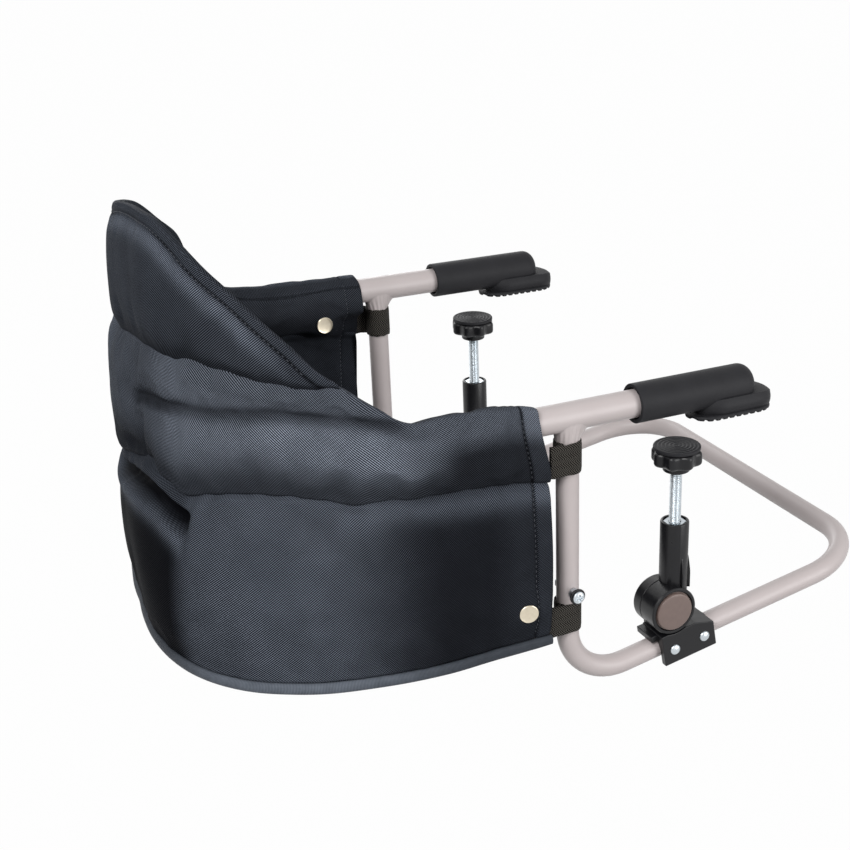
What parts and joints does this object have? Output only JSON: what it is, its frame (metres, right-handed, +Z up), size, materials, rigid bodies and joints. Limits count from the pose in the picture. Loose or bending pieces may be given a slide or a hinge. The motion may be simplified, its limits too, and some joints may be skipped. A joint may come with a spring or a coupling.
{
  "type": "hook-on table chair",
  "caption": "Child's hook-on table seat: a sewn bucket seat on a bent tube frame, with rubber feet that rest on a table top and folding screw clamps that press up from below.",
  "frame": {"origin": "on the table's top front edge, midway between the arms", "axes": "+X over the table, +Y to the child's left, +Z up"},
  "size_m": [0.5965, 0.4124, 0.3816],
  "materials": {
    "powder_coat": "satin powder coat, warm greige",
    "rubber": "matte moulded rubber",
    "black_plastic": "moulded, semi-gloss",
    "taupe_plastic": "moulded, satin",
    "zinc": "bright zinc plate",
    "nickel": "satin nickel plate",
    "fabric": "woven polyester twill, padded",
    "webbing": "herringbone webbing and binding tape",
    "board": "hardboard, hidden in the seat"
  },
  "bodies": {
    "frame": {"arm_tube": "powder_coat", "lower_tube": "powder_coat", "arm_band": "fabric", "upper_back": "fabric", "skirt": "fabric", "hem_binding": "webbing", "floor_panel": "fabric", "seat_board": "board", "seat_cushion": "fabric", "right_grip": "rubber", "right_upper_strap": "webbing", "right_lower_strap": "webbing", "right_stop_spacer": "zinc", "right_stop_washer": "black_plastic", "right_stop_screw": "zinc", "right_stop_nut": "zinc", "right_lower_stud": "nickel", "right_upper_stud": "nickel", "right_clamp_bracket": "black_plastic", "right_rear_rivet": "zinc", "right_front_rivet": "zinc", "right_hub_pin": "zinc", "right_hub_nut": "zinc", "right_button_spring": "zinc", "left_grip": "rubber", "left_upper_strap": "webbing", "left_lower_strap": "webbing", "left_stop_spacer": "zinc", "left_stop_washer": "black_plastic", "left_stop_screw": "zinc", "left_stop_nut": "zinc", "left_lower_stud": "nickel", "left_upper_stud": "nickel", "left_clamp_bracket": "black_plastic", "left_rear_rivet": "zinc", "left_front_rivet": "zinc", "left_hub_pin": "zinc", "left_hub_nut": "zinc", "left_button_spring": "zinc"},
    "right_arm": {"right_clamp_arm": "black_plastic", "right_clamp_nut": "zinc"},
    "right_button": {"right_release_button": "taupe_plastic", "right_lock_gear": "black_plastic"},
    "right_pad": {"right_table_pad": "rubber"},
    "right_screw": {"right_clamp_screw": "zinc", "right_pad_wheel": "black_plastic"},
    "left_arm": {"left_clamp_arm": "black_plastic", "left_clamp_nut": "zinc"},
    "left_button": {"left_release_button": "taupe_plastic", "left_lock_gear": "black_plastic"},
    "left_pad": {"left_table_pad": "rubber"},
    "left_screw": {"left_clamp_screw": "zinc", "left_pad_wheel": "black_plastic"}
  },
  "joints": [
    {"name": "right_clamp_swing", "type": "hinge", "parent": "frame", "child": "right_arm", "pos_m": [0.02503, -0.1855, -0.15994], "axis": [0, 1, 0], "range_deg": [-20, 65]},
    {"name": "right_button_press", "type": "slide", "parent": "right_arm", "child": "right_button", "axis": [0, 1, 0], "range_m": [0, 0.0035], "stiffness_N_per_m": 800, "springref_m": -0.001, "deforming": ["right_button_spring"]},
    {"name": "right_pad_lift", "type": "slide", "parent": "right_arm", "child": "right_pad", "axis": [0, 0, 1], "range_m": [-0.0351, 0.0081]},
    {"name": "right_screw_turn", "type": "hinge", "parent": "right_pad", "child": "right_screw", "pos_m": [0.03303, -0.1855, -0.04], "axis": [0, 0, 1], "range_deg": [-8400, 1920]},
    {"name": "left_clamp_swing", "type": "hinge", "parent": "frame", "child": "left_arm", "pos_m": [0.02503, 0.1855, -0.15994], "axis": [0, 1, 0], "range_deg": [-20, 65]},
    {"name": "left_button_press", "type": "slide", "parent": "left_arm", "child": "left_button", "axis": [0, -1, 0], "range_m": [0, 0.0035], "stiffness_N_per_m": 800, "springref_m": -0.001, "deforming": ["left_button_spring"]},
    {"name": "left_pad_lift", "type": "slide", "parent": "left_arm", "child": "left_pad", "axis": [0, 0, 1], "range_m": [-0.0351, 0.0081]},
    {"name": "left_screw_turn", "type": "hinge", "parent": "left_pad", "child": "left_screw", "pos_m": [0.03303, 0.1855, -0.04], "axis": [0, 0, 1], "range_deg": [-8400, 1920]}
  ],
  "couplings": [
    {"joint": "right_pad_lift", "follows": "right_screw_turn", "m_per_rad": 0.00023873},
    {"joint": "left_pad_lift", "follows": "left_screw_turn", "m_per_rad": 0.00023873}
  ]
}
